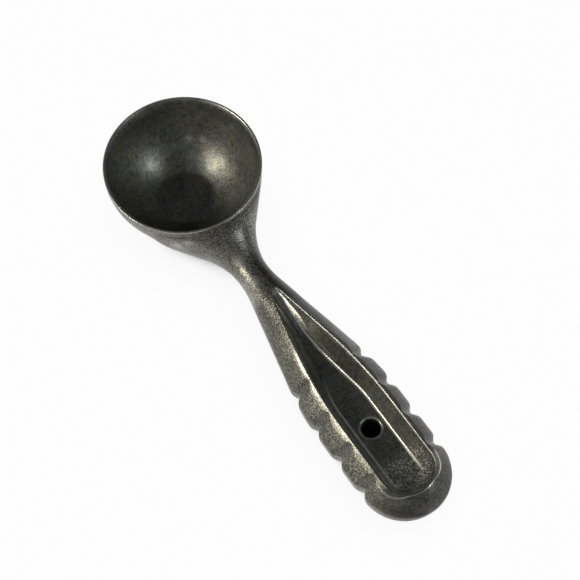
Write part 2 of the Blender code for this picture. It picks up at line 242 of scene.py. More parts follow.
END_PAINTED_SHADE = (1.0, (140.0, 147.0, 0.72))
END_FLANK_ALONG = (143.0, 150.0)
END_FLANK_AROUND = (50.0, 85.0)
END_FLANK_PAINTED_SHADE_LEFTWARD = (0.1, (-6.0, 3.0, 0.5))

# Painted light and shade in the cup, by bearing from the handle in degrees. The streak is a painted
# highlight: in it the rim's crest is painted bright and its edge dark, while elsewhere the edge is worn
# bright and painted as a highlight line. The pairs are levels outside it and in it.
RIM_HIGHLIGHT_STREAK = (0.0, (62.0, 84.0, 1.0), (118.0, 138.0, 0.0))
CREST_WEAR_AND_HIGHLIGHT = (0.15, 1.0)
RIM_EDGE_WEAR_AND_HIGHLIGHT = (0.8, 0.0)
RIM_EDGE_PAINTED_SHADE = (1.0, 0.15)
# Painted light and shade in the cup: the bevel darker and its foot paler, the flat bottom darker, the inside
# paler overall, the near wall darker and the right wall paler as a painted reflection.
BEVEL_TONE = 0.95
BEVEL_FOOT_TONE = 1.4
CUP_FLAT_TONE = 0.95
CUP_TONE = 1.3
NEAR_WALL_BEARING, NEAR_WALL_SPREAD, NEAR_WALL_PAINTED_SHADE = -35.0, 28.0, 0.65
RIGHT_WALL_BEARING, RIGHT_WALL_SPREAD, RIGHT_WALL_PAINTED_REFLECTION = 75.0, 40.0, 0.65
RIGHT_WALL_HEIGHTS = (8.0, 18.0)

# Nicks in the cup that show bare metal, and highlights painted as bare metal on the flare and neck: where
# they are, how far they reach and how bright they are.
MARKS_AND_HIGHLIGHTS = (
    (-17.1, 12.7, 10.6, 1.0, 1.0),
    (-13.3, 16.8, 10.8, 0.9, 1.0),
    (34.9, 0.8, 23.7, 2.2, 0.45),
    (23.7, -17.6, 18.6, 2.2, 0.4),
    (26.5, -14.8, 22.2, 1.8, 0.35),
    (41.5, -3.2, 19.5, 1.6, 0.3),
    (51.2, -3.0, 18.6, 1.8, 0.35),
)

# Painted light and shade: paler and darker patches that move the cup's highlights and lighten or darken spots
# on the flare, neck and grip's end, in the same form.
PAINTED_LIGHT_PATCHES = (
    (-4.8, 14.3, 4.7, 5.0, 0.8),
    (-5.3, 18.5, 8.2, 4.5, -0.35),
    (-16.4, -4.2, 6.1, 3.5, 1.0),
    (-19.7, -4.5, 9.2, 4.0, -0.3),
    (-22.5, 12.7, 19.5, 8.0, 0.45),
    (-19.6, -15.6, 17.3, 9.0, 1.0),
    (12.0, 14.3, 7.6, 7.0, 0.9),
    (-9.2, 24.2, 19.7, 6.0, 0.4),
    (29.6, 7.6, 24.8, 6.0, 0.7),
    (42.0, -2.9, 19.2, 4.0, 0.5),
    (149.2, -9.8, 17.1, 5.0, 0.7),
)

# Grain is strong outside, but not at the grip's end or in the hollows. The trough's end is pitted.
GRAIN_OUTSIDE = (1.6, (136.0, 147.0, 0.5))
GRAIN_IN_HOLLOWS = 0.5
PITTED_ALONG = (129.0, 136.0)
PITTED_ABOVE_FLOOR = 4.0
PITTED_BELOW_RIM = 0.7

# The hang hole's rounded edge is painted pale and bright as a highlight; its wall stays black, as painted
# shade.
HOLE_EDGE_HIGHLIGHT = {"tone_and_painted_light": 1.3, "hollow": 1.0, "wear_and_highlight": 0.35}
HOLE_WALL_MARGIN = 0.02
HOLE_EDGE_MARGIN = 0.05

# Colours: dark oxide, the bare metal under it, bright metal for rubbed spots and painted highlights, and what
# grime does to the hollows.
OXIDE = (0.035, 0.034, 0.028, 1.0)
BARE_METAL = (0.245, 0.238, 0.205, 1.0)
BRIGHT_METAL = (0.6, 0.59, 0.54, 1.0)
GRIME_COOL = (0.86, 0.92, 1.0, 1.0)
GRIME_WARM = (0.98, 0.97, 0.94, 1.0)

# Noises of the metal: size in millimetres, detail, roughness and seed.
MOTTLE = (7.0, 4.0, 0.62, 0.0)
BLOTCH = (1.9, 3.0, 0.6, 3.0)
GRAIN = (0.5, 3.0, 0.75, 7.0)
DUST = (0.28, 1.0, 0.5, 11.0)
TINT = (5.0, 2.0, 0.5, 17.0)
FLECKS = (0.5, 2.0, 0.6, 23.0)
PIT_SIZE = 1.5
PIT_RADIUS = 0.16
PIT_CORE = 0.3

# How much each of them counts in the metal's colour, roughness and height.
BARE_SHARE = 0.5
IN_COLOUR = {"mottle": 0.8, "blotch": 1.0, "grain": 4.5, "dust": 2.0}
MEAN_ROUGHNESS = 0.31
IN_ROUGHNESS = {"mottle": -0.25, "grain": 0.28, "hollow": 0.05, "pitted": 0.12, "wear_and_highlight": -0.16}
IN_HEIGHT = {"mottle": 0.8, "blotch": 0.5, "grain": 0.75, "dust": 0.35, "pits": -0.1, "pitted": 1.5}
BUMP_DEPTH = 0.1
METALLIC = 0.75

# Ranges: a low and a high value, and the levels that they become.
PITS_BY_BLOTCH = (0.5, 0.6, 0.0, 0.8)
WEAR_AND_HIGHLIGHT_BY_BLOTCH = (0.3, 0.55, 0.65, 1.0)
TINT_RANGE = (0.4, 0.6, 0.0, 1.0)
FLECK_RANGE = (0.52, 0.6, 0.0, 1.0)
CALM_BY_WEAR_AND_HIGHLIGHT = (0.0, 1.0, 1.0, 0.15)
COVERED_RANGE = (0.2, 0.36, 0.007, 0.93)
FAINT_RANGE = (0.3, 0.8, 0.0, 0.055)
# Painted shadow under the hang hole, by distance from it.
PAINTED_SHADOW_UNDER_HOLE_RANGE = (7.0 * MM, 10.0 * MM, 0.01, 1.0)
SKY_LEFT_RANGE = (0.1, -0.7, 0.0, 0.27)
SKY_HIGH_RANGE = (0.15, 0.5, 0.0, 1.0)

# Camera: where it stands, what it looks at, and its field of view. The picture is shifted by half a pixel.
CAMERA_PLACE = (282.14, -143.76, 544.92)
CAMERA_TARGET = (64.86, 3.40, 27.0)
CAMERA_ROLL = -0.118
CAMERA_LENS = 103.16
CAMERA_NEAREST = 10.0
SENSOR_WIDTH = 36.0
IMAGE_SIZE = 580
HALF_PIXEL = 0.5 / IMAGE_SIZE

# Floor, in metres. It lies off the middle, so that the seam between its two triangles, which would show as a
# hairline, runs far from the scoop. SHADOW_REACH is in millimetres.
FLOOR_HALF_SIZE = 40.0
FLOOR_ASIDE = 10.0
FLOOR_COLOUR = (0.8, 0.8, 0.8, 1.0)
FLOOR_ROUGHNESS = 1.0
SHADOW_SAMPLES = 16
SHADOW_REACH = 30.0

# Softboxes: azimuth and elevation in degrees, width and height in metres, power, and colour. They stand round
# their target, in metres. Sky: how pale it is by height, in stops (height, level).
SOFTBOXES = {
    "left_softbox": (-106.0, 30.0, 0.55, 0.22, 5.2, (1.0, 0.94, 0.8)),
    "right_softbox": (36.0, 31.0, 0.25, 0.25, 1.7, (0.9, 0.98, 1.0)),
}
SOFTBOX_DISTANCE = 1.0
SOFTBOX_TARGET = (0.06, 0.0, 0.015)
SKY_COLOUR = (0.95, 0.98, 1.0, 1.0)
SKY_STOPS = ((0.0, 0.9), (0.03, 0.3), (0.35, 0.18), (0.65, 0.11), (1.0, 0.09))

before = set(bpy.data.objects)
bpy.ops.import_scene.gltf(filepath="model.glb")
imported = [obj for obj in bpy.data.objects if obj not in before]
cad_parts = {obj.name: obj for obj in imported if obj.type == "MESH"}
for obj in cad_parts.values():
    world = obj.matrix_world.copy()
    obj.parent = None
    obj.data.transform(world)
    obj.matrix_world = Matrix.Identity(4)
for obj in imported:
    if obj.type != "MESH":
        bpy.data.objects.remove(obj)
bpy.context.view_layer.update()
cup_low, cup_high = (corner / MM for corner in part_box("bowl"))
grip_low, grip_high = (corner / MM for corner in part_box("grip"))

CUP_RADIUS = -cup_low.x
CUP_HEIGHT = cup_high.z
NECK_DISTANCE = CUP_RADIUS + NECK_REACH
NECK_AXIS_HEIGHT = CUP_HEIGHT - NECK_DROP
GRIP_END = grip_high.x
GRIP_UNDERSIDE_HEIGHT = grip_low.z
GRIP_WIDEST_HEIGHT = NECK_AXIS_HEIGHT + GRIP_WIDEST_RISE
LAST_NOTCH = GRIP_END - LAST_NOTCH_FROM_END
TROUGH_TIP = NECK_DISTANCE + TROUGH_TIP_FROM_NECK
TROUGH_FRONT = NECK_DISTANCE + TROUGH_FRONT_FROM_NECK
TROUGH_FLOOR_START = NECK_DISTANCE + TROUGH_FLOOR_FROM_NECK
TROUGH_RIM_HEIGHT = GRIP_WIDEST_HEIGHT + TROUGH_RIM_RISE
TROUGH_FLOOR_HEIGHT = TROUGH_RIM_HEIGHT - TROUGH_DEPTH
TROUGH_END_CENTRE = GRIP_END - TROUGH_END_CENTRE_FROM_END
HOLE_DISTANCE = GRIP_END - HOLE_FROM_END


def share_between(value, start, end):
    return np.clip((value - start) / (end - start), 0.0, 1.0)


def ease(value, start, end):
    """Rises smoothly from 0 at start to 1 at end."""
    t = share_between(value, start, end)
    return t * t * (3.0 - 2.0 * t)


def mix(first, second, share):
    return first + (second - first) * share


def follow(value, profile):
    """Level of a profile at value."""
    level, *steps = profile
    total = level
    for start, end, next_level in steps:
        total = total + (next_level - level) * ease(value, start, end)
        level = next_level
    return total


def past(place, stretch):
    """Ends of a stretch that is measured from place."""
    return place + stretch[0], place + stretch[1]


def smooth_minimum(first, second, blend):
    overlap = np.maximum(blend - np.abs(first - second), 0.0)
    return np.minimum(first, second) - overlap**2 / (4.0 * blend)


# The outer skin, as a gap that is negative inside the metal and zero on its surface.


def flare_spread(x, neck_edge):
    """Distance from the middle line of a flare that touches the cup's ball and is filleted to the neck."""
    centre = neck_edge + FLARE_FILLET
    span = math.hypot(NECK_DISTANCE, centre)
    slope = math.asin((CUP_RADIUS + FLARE_FILLET) / span) - math.atan2(centre, NECK_DISTANCE)
    touch = CUP_RADIUS * math.sin(slope)
    seat = SEAT_DEPTH + SEAT_GROWTH * (touch - x) ** 2
    on_ball = np.sqrt(np.maximum(CUP_RADIUS**2 - x**2, 0.0)) - seat
    from_neck = NECK_DISTANCE - x
    fillet = centre - np.sqrt(np.maximum(FLARE_FILLET**2 - from_neck**2, 0.0))
    fillet_reach = FLARE_FILLET * math.sin(slope)
    straight = neck_edge + FLARE_FILLET * (1.0 - math.cos(slope))
    straight = straight + (from_neck - fillet_reach) * math.tan(slope)
    return np.where(x < touch, on_ball, np.where(from_neck < fillet_reach, fillet, straight))


def crest_half_width(x):
    """Half-width over the crests between the notches: a taper, rounded into the full width."""
    angle = math.atan(GRIP_TAPER)
    bend = GRIP_TAPER_FILLET * math.sin(angle)
    base = NECK_RADIUS + GRIP_TAPER_FILLET * (1.0 - math.cos(angle))
    from_neck = np.maximum(x - NECK_DISTANCE, 0.0)
    waist = NECK_RADIUS + GRIP_TAPER_FILLET
    waist = waist - np.sqrt(GRIP_TAPER_FILLET**2 - np.minimum(from_neck, bend) ** 2)
    taper = base + (from_neck - bend) * GRIP_TAPER
    reach = GRIP_SHOULDER_FILLET * math.tan(angle / 2.0)
    corner = NECK_DISTANCE + bend + (GRIP_HALF_WIDTH - base) / GRIP_TAPER
    from_full = np.clip(corner + reach - x, 0.0, GRIP_SHOULDER_FILLET)
    shoulder = GRIP_HALF_WIDTH - GRIP_SHOULDER_FILLET
    shoulder = shoulder + np.sqrt(GRIP_SHOULDER_FILLET**2 - from_full**2)
    rising = np.where(from_neck < bend, waist, taper)
    return np.where(x < corner - reach * math.cos(angle), rising, shoulder)


def notch_share(x):
    """How deep in a finger notch x is: 0 on the crests, 1 at the bottom of a notch."""
    notches_back = (LAST_NOTCH - x) / NOTCH_PITCH
    inside = (notches_back > -0.5) & (notches_back < NOTCH_COUNT - 0.5)
    return np.where(inside, np.abs(np.cos(math.pi * notches_back)) ** NOTCH_SHARPNESS, 0.0)


def notched_grip_half_width(x):
    return crest_half_width(x) - NOTCH_DEPTH * notch_share(x)


def half_width(x):
    """Half-width of the handle, as if the grip ran on without its round end."""
    width = np.where(x < NECK_DISTANCE, flare_spread(x, NECK_RADIUS), notched_grip_half_width(x))
    return np.maximum(width, MIN_HALF_WIDTH)


def share_of_end(x):
    """How far x is into the grip's round end."""
    return share_between(x, GRIP_END - GRIP_END_LENGTH, GRIP_END)


def end_rounding(x):
    """Share of the section left as the grip rounds off to its end."""
    return np.sqrt(1.0 - share_of_end(x) ** 2)


def widest_height(x):
    to_neck = mix(CUP_HEIGHT, NECK_AXIS_HEIGHT, ease(x, CUP_RADIUS / 3.0, NECK_DISTANCE))
    return to_neck + GRIP_WIDEST_RISE * ease(x, NECK_DISTANCE, TROUGH_FLOOR_START)


def trough_half_width(x):
    """Half-width of the trough's rim: a straight taper, rounded into the full width."""
    width = smooth_minimum(TROUGH_TAPER * (x - TROUGH_TIP), TROUGH_HALF_WIDTH, TROUGH_ROUNDING)
    return np.maximum(width, SEED_WIDTH)


def band_share(x):
    """Share of the bevelled band's full width at x: it starts thin and thins at each notch."""
    opening = ease(x, TROUGH_FRONT, TROUGH_FRONT + BAND_OPENING_LENGTH)
    return mix(BAND_FRONT_SHARE, 1.0, opening) * (1.0 - BAND_NOTCH_LOSS * notch_share(x))


def top_squareness(x):
    power = mix(ROUND, FRONT_TOP_SQUARENESS, ease(x, *past(TROUGH_FRONT, FRONT_TOP_SQUARED)))
    power = mix(power, GRIP_TOP_SQUARENESS, ease(x, *past(TROUGH_FRONT, GRIP_TOP_SQUARED)))
    return mix(power, END_TOP_SQUARENESS, ease(x, TROUGH_END_CENTRE - END_TOP_LEAD, GRIP_END))


def bottom_squareness(x):
    swell = ease(x, CUP_RADIUS * FLARE_SWELL_START, CUP_RADIUS * FLARE_SWELL_END)
    on_flare = mix(ROUND, FLARE_SQUARENESS, swell - ease(x, CUP_RADIUS, NECK_DISTANCE))
    squared = ease(x, NECK_DISTANCE, TROUGH_FRONT + GRIP_BOTTOM_SQUARED)
    return np.where(x < NECK_DISTANCE, on_flare, mix(ROUND, GRIP_BOTTOM_SQUARENESS, squared))


def top_height(x):
    """Height of the top line: above the trough, it is where the crown that carries the band would close."""
    neck_top = NECK_AXIS_HEIGHT + NECK_RADIUS
    on_flare = mix(CUP_HEIGHT - FLARE_STEP, neck_top, ease(x, CUP_RADIUS - CUP_WALL, NECK_DISTANCE))
    band = band_share(x)
    spread = (trough_half_width(x) + BAND_WIDTH * band) / notched_grip_half_width(x)
    edge = TROUGH_RIM_HEIGHT - BAND_DROP * band
    power = top_squareness(x)
    share = (1.0 - np.minimum(spread, TOP_EDGE_LIMIT) ** power) ** (1.0 / power)
    crown = GRIP_WIDEST_HEIGHT + (edge - GRIP_WIDEST_HEIGHT) / share
    on_grip = mix(neck_top, crown, ease(x, NECK_DISTANCE, NECK_DISTANCE + GRIP_TOP_RISE))
    return np.where(x < NECK_DISTANCE, on_flare, on_grip)


def bottom_height(x):
    on_flare = CUP_HEIGHT - flare_spread(x, NECK_DROP + NECK_RADIUS)
    drop = ease(x, NECK_DISTANCE, NECK_DISTANCE + GRIP_BELLY_REACH)
    on_grip = mix(NECK_AXIS_HEIGHT - NECK_RADIUS, GRIP_UNDERSIDE_HEIGHT, drop)
    on_grip = mix(widest_height(x), on_grip, end_rounding(x))
    return np.where(x < NECK_DISTANCE, on_flare, on_grip)


def handle_gap(point):
    """Gap of the handle's skin, flare included, measured from the middle of the section."""
    x, y, z = point[..., 0], np.abs(point[..., 1]), point[..., 2]
    middle = widest_height(x)
    above = z > middle
    reach = np.where(above, top_height(x) - middle, middle - bottom_height(x))
    power = np.where(above, top_squareness(x), bottom_squareness(x))
    width = half_width(x)
    across_above = np.hypot(y / width, share_of_end(x))
    across_below = y / np.maximum(width * end_rounding(x), MIN_HALF_WIDTH)
    across = np.where(above, across_above, across_below)
    along = np.abs(z - middle) / np.maximum(reach, MIN_REACH)
    swell = np.maximum((across**power + along**power) ** (1.0 / power), MIN_SWELL)
    gap = np.hypot(y, z - middle) * (1.0 - 1.0 / swell)
    return np.maximum(gap, np.maximum(-x, x - GRIP_END))


def skin_gap(point):
    """Gap of the whole outer skin: the cup's ball and the handle, blended, and cut off flat below."""
    ball = np.linalg.norm(point - (0.0, 0.0, CUP_HEIGHT), axis=-1) - CUP_RADIUS
    blend = mix(FLARE_BLEND_AT_RIM, FLARE_BLEND, ease(CUP_HEIGHT - point[..., 2], *FLARE_BLEND_DEPTHS))
    joined = smooth_minimum(ball, handle_gap(point), blend)
    return -smooth_minimum(-joined, point[..., 2], FLAT_EDGE_BLEND)


def cast(origin, direction, reach):
    """Points where rays that start inside the metal leave it."""
    near = np.zeros(np.broadcast(origin, direction).shape[:-1])
    far = np.full_like(near, reach)
    for _ in range(HALVINGS):
        middle = (near + far) / 2.0
        outside = skin_gap(origin + direction * middle[..., None]) > 0.0
        far = np.where(outside, middle, far)
        near = np.where(outside, near, middle)
    return origin + direction * near[..., None]


# The rings. Each runs from the top line down the right side to the bottom line, and up the left side.


def softened(corners, reach, counts):
    """Samples a line through corners, with each inner corner rounded over reach either side of it."""
    corners = np.array(corners, float)
    lengths = np.linalg.norm(np.diff(corners, axis=0), axis=1)
    line = []
    leave = corners[0]
    for i in range(1, len(corners) - 1):
        back = min(reach[i - 1], BLEND_LIMIT * lengths[i - 1])
        ahead = min(reach[i - 1], BLEND_LIMIT * lengths[i])
        start = corners[i] + (corners[i - 1] - corners[i]) * back / lengths[i - 1]
        end = corners[i] + (corners[i + 1] - corners[i]) * ahead / lengths[i]
        for share in np.arange(counts[i - 1]) / counts[i - 1]:
            line.append(mix(leave, start, share))
        for share in np.arange(BLEND_LINES) / BLEND_LINES:
            line.append(mix(mix(start, corners[i], share), mix(corners[i], end, share), share))
        leave = end
    line.append(leave)
    return np.array(line)


def trough_section(x, turn):
    """Half-widths of the trough at x: of its floor, its rim and the outer edge of its band."""
    full = mix(TROUGH_HALF_WIDTH, TROUGH_END_REACH, math.sin(turn) ** 2)
    rim = trough_half_width(x) * full / TROUGH_HALF_WIDTH
    opened = ease(x, TROUGH_FLOOR_START, TROUGH_FLOOR_START + TROUGH_FLOOR_OPENING_LENGTH)
    floor = mix(GROOVE_HALF_WIDTH * follow(x, GROOVE_WIDENING), TROUGH_FLOOR_HALF_WIDTH, opened)
    floor = min(floor, TROUGH_FLOOR_SHARE * rim + TROUGH_FLOOR_EXTRA * opened)
    edge = rim + BAND_WIDTH * band_share(x) * follow(turn, BAND_BY_TURN)
    return floor, rim, edge


def trough_corners(x, turn, edge_height, cut):
    """Corners of the trough's section from its middle to the band's edge, and how far each is rounded."""
    floor, rim, edge = trough_section(x, turn)
    level = ease(x, NECK_DISTANCE + GRIP_TOP_RISE - TROUGH_RIM_LEVELLING, NECK_DISTANCE + GRIP_TOP_RISE)
    level = level * (1.0 - ease(turn, *TROUGH_RIM_LEVEL_TURNS))
    rise = BAND_DROP * (edge - rim) / BAND_WIDTH * cut
    rim_height = mix(edge_height + rise, TROUGH_RIM_HEIGHT, level)
    sink = share_between(x, TROUGH_FRONT, TROUGH_FRONT + TROUGH_SINK_LENGTH) ** TROUGH_SINK_POWER
    floor_height = mix(rim_height - TROUGH_FRONT_DEPTH, TROUGH_FLOOR_HEIGHT, sink)
    lip = rim - CHAMFER_WIDTH * min(rim / CHAMFER_FULL_FROM, 1.0)
    lip_height = rim_height - CHAMFER_DEPTH * min(rim / CHAMFER_FULL_FROM, 1.0)

    plain = ease(x, *past(TROUGH_FRONT, GROOVE_SLOPE_ENDS))
    foot_reach = WALL_FOOT_REACH + END_FOOT_REACH * math.sin(turn)
    slope = mix(floor, lip, mix(follow(x, GROOVE_SLOPE_REACH), foot_reach, plain))
    slope_height = floor_height + (slope - floor) * math.tan(math.radians(GROOVE_SLOPE))
    slope_height = mix(slope_height, mix(floor_height, lip_height, WALL_FOOT_RISE), plain)
    slope_height = min(slope_height, mix(floor_height, lip_height, GROOVE_SLOPE_LIMIT))
    foot_blend = mix(GROOVE_FOOT_BLEND, WALL_FOOT_BLEND, plain) + END_FOOT_BLEND * ease(turn, *END_FOOT_TURNS)
    corners = [
        (0.0, floor_height),
        (floor, floor_height),
        (slope, slope_height),
        (lip, lip_height),
        (rim, rim_height),
        (edge, edge_height),
    ]
    return corners, (foot_blend, *UPPER_CORNER_BLENDS)


def grip_ring(x, turn=0.0):
    """Ring of the grip at x; past the trough's end centre, both halves swing about it by turn."""
    _, rim, edge = trough_section(x, turn)
    outward = np.array((math.sin(turn), math.cos(turn), 0.0))
    middle = np.array((x, 0.0, float(widest_height(x))))
    up = np.array((0.0, 0.0, 1.0))

    def skin_height(distance):
        return cast(middle + outward * distance, up, UPWARD_REACH)[..., 2]

    edge_height = skin_height(edge)
    angle = math.atan2(edge, edge_height - middle[2])
    skin_angles = mix(angle, math.pi, (np.arange(SKIN_LINES) + 1) / SKIN_LINES)
    rays = np.outer(np.sin(skin_angles), outward) + np.outer(np.cos(skin_angles), up)
    skin = cast(middle, rays, AROUND_REACH)
    distance = (skin - middle) @ outward

    cut = ease(x, TROUGH_FRONT, TROUGH_FRONT + TROUGH_FRONT_LENGTH)
    corners, blends = trough_corners(x, turn, edge_height, cut)
    counts = (FLOOR_LINES, SLOPE_LINES, WALL_LINES, CHAMFER_LINES, BAND_LINES)
    line = softened([*corners, (distance[1], skin[1, 2])], blends, counts)
    if cut < 1.0:
        line[:, 1] = mix(skin_height(line[:, :1]), line[:, 1], cut)
    near = middle * (1.0, 1.0, 0.0) + np.outer(line[:, 0], outward) + np.outer(line[:, 1], up)
    half = np.vstack((near, skin[1:]))
    ring = np.vstack((half, half[-2:0:-1] * (1.0, -1.0, 1.0)))

    offset = mix(GROOVE_OFFSET, TROUGH_FLOOR_OFFSET, ease(x, *past(TROUGH_FLOOR_START, GROOVE_OFFSET_ENDS)))
    inside = np.zeros(len(ring))
    inside[: len(line)] = np.maximum(1.0 - (line[:, 0] / rim) ** 2, 0.0)
    inside[-len(line) + 1 :] = inside[len(line) - 1 : 0 : -1]
    ring[:, 1] += offset * cut * inside
    return ring


def ring_angles(ring):
    """Direction of each point of a ring as an angle from its top line, signed by its side."""
    return np.arctan2(ring[:, 1], ring[:, 2] - NECK_AXIS_HEIGHT)


def flare_rings(angles):
    """Rings on planes that fan out from the rim's plane to the neck's section."""
    rim_height = CUP_HEIGHT - RIM_EDGE_RADIUS
    fall = rim_height - NECK_AXIS_HEIGHT
    rings = []
    for t in np.arange(1, FLARE_ROWS) / FLARE_ROWS:
        share = t**FLARE_ROW_SPACING
        middle = np.array((share * NECK_DISTANCE, 0.0, rim_height - share * fall))
        tilt = math.atan2(share * fall, (1.0 - share) * NECK_DISTANCE)
        ahead = np.array((math.cos(tilt), 0.0, math.sin(tilt)))
        rays = np.outer(np.cos(angles), ahead) + np.outer(np.sin(angles), (0.0, 1.0, 0.0))
        rings.append(cast(middle, rays, FLARE_REACH))
    return rings


def cup_profile():
    """Outline of the cup's inside and rim as (radius, height), from the bottom's middle to the outer edge."""
    inner = CUP_RADIUS - CUP_WALL
    lip = CUP_RADIUS - RIM_LAND
    floor_angle = math.asin((CUP_HEIGHT - CUP_FLOOR) / inner)
    bevel_angle = math.asin(RIM_BEVEL_DEPTH / inner)
    flat_shares = np.linspace(0.0, CUP_FLAT_SHARE, CUP_FLAT_ROWS)
    flat = [(inner * math.cos(floor_angle) * share, CUP_FLOOR) for share in flat_shares]
    angles = np.linspace(floor_angle - CUP_CORNER_ANGLE, bevel_angle + RIM_BEVEL_BLEND / inner, CUP_ROWS)
    bowl = [(inner * math.cos(a), CUP_HEIGHT - inner * math.sin(a)) for a in angles]

    def bend(start, corner, end, rows):
        shares = np.linspace(0.0, 1.0, rows)
        return [mix(mix(start, corner, t), mix(corner, end, t), t) for t in shares]

    foot = np.array((inner * math.cos(bevel_angle), CUP_HEIGHT - RIM_BEVEL_DEPTH))
    crest = np.array((lip, CUP_HEIGHT))
    slope = np.linalg.norm(crest - foot)
    bevel = bend(np.array(bowl[-1]), foot, mix(foot, crest, RIM_BEVEL_BLEND / slope), BEVEL_ROWS)[1:]
    crest_start, crest_end = mix(crest, foot, RIM_CREST_BLEND / slope), crest + (0.5 * RIM_CREST_BLEND, 0.0)
    bevel += bend(crest_start, crest, crest_end, CREST_ROWS)
    turns = np.linspace(0.0, math.pi / 2.0, RIM_EDGE_ROWS)
    outer = math.sqrt(CUP_RADIUS**2 - RIM_EDGE_RADIUS**2) - RIM_EDGE_RADIUS
    top = CUP_HEIGHT - RIM_EDGE_RADIUS
    edge = [(outer + RIM_EDGE_RADIUS * math.sin(t), top + RIM_EDGE_RADIUS * math.cos(t)) for t in turns]
    return flat + bowl + bevel + edge


def cup_rings(angles):
    around = np.column_stack((np.cos(angles), np.sin(angles), np.zeros_like(angles)))
    return [around * radius + (0.0, 0.0, height) for radius, height in cup_profile()]


# What the material needs to know of each point: hollow, worn bright and painted with highlights, pitted, how
# pale with painted light and shade, and how grainy it is.


def outside_painted_light(x, y, z):
    """Painted light and shade on the outside, as a paleness where 1 is plain."""
    around = np.degrees(np.arctan2(y, z - widest_height(x)))
    right_flank = ease(around, *RIGHT_FLANK_TOP)
    right_flank = right_flank * (1.0 - ease(around, follow(x, RIGHT_FLANK_FADE_START), RIGHT_FLANK_FADE_END))
    tone_and_painted_light = 1.0 - right_flank * follow(x, RIGHT_FLANK_ALONG)
    tone_and_painted_light *= 1.0 + ease(-around, *LEFT_NECK_AROUND) * follow(x, LEFT_NECK_ALONG)
    tone_and_painted_light *= 1.0 - follow(-around, LEFT_FLANK_AROUND) * follow(x, LEFT_FLANK_ALONG)
    tone_and_painted_light *= 1.0 - LEFT_NOTCH_PAINTED_SHADE * ease(-around, *LEFT_NOTCH_AROUND) * notch_share(x)
    end_flank = ease(x, *END_FLANK_ALONG) * ease(np.abs(around), *END_FLANK_AROUND)
    return tone_and_painted_light * (follow(x, END_PAINTED_SHADE) - follow(-y, END_FLANK_PAINTED_SHADE_LEFTWARD) * end_flank)


def paint_cup_wear_and_light(rings, hollow, wear_and_highlight, tone_and_painted_light):
    """Sets the shares of the cup's rows, whose last is also the first of the outside, with painted light and
    shade: a highlight streak on the rim, a darker near wall, a paler right wall as a painted reflection, and
    paler or darker bevel, bottom and inside.
    """
    x, y, z = rings[..., 0], rings[..., 1], rings[..., 2]
    bearing = np.degrees(np.arctan2(y, x))
    highlight_streak = follow(bearing, RIM_HIGHLIGHT_STREAK)
    edge = len(rings) - 1 - RIM_EDGE_ROWS
    crest = edge - CREST_ROWS
    bevel = crest - BEVEL_ROWS
    near_wall = np.exp(-(((bearing - NEAR_WALL_BEARING) / NEAR_WALL_SPREAD) ** 2))
    right_wall = np.exp(-(((bearing - RIGHT_WALL_BEARING) / RIGHT_WALL_SPREAD) ** 2))
    right_wall = right_wall * ease(z, *RIGHT_WALL_HEIGHTS)
    # Painted shade on the near wall and a painted reflection on the right wall.
    inside = CUP_TONE - NEAR_WALL_PAINTED_SHADE * near_wall + RIGHT_WALL_PAINTED_REFLECTION * right_wall

    hollow[:edge] = 1.0
    # Painted highlight streak on the rim's crest; elsewhere the edge is worn bright and painted as a
    # highlight line.
    wear_and_highlight[crest:edge] = mix(*CREST_WEAR_AND_HIGHLIGHT, highlight_streak[crest:edge])
    wear_and_highlight[edge:] = mix(*RIM_EDGE_WEAR_AND_HIGHLIGHT, highlight_streak[edge:])
    # Painted light and shade on the inside, its flat bottom and the bevel.
    tone_and_painted_light[:-1] = inside[:-1]
    tone_and_painted_light[:CUP_FLAT_ROWS] = CUP_FLAT_TONE
    tone_and_painted_light[bevel:edge] = BEVEL_TONE
    tone_and_painted_light[bevel : crest - BEVEL_ROWS // 2] = BEVEL_FOOT_TONE
    # The rim's edge is painted dark in the highlight streak.
    tone_and_painted_light[edge - 1 :] *= mix(*RIM_EDGE_PAINTED_SHADE, highlight_streak[edge - 1 :])


def paint(shares, plain, stripes, along):
    """Paints stripes along the trough over the plain level, which they leave as the trough begins."""
    cut = ease(along, TROUGH_FRONT, TROUGH_FRONT + TROUGH_FRONT_LENGTH)
    for sides, first, end, *profiles in stripes:
        amount = math.prod(np.maximum(follow(along, profile), 0.0) for profile in profiles)
        for side in sides:
            shares[:, side * np.arange(first, end)] = mix(plain, amount, cut)


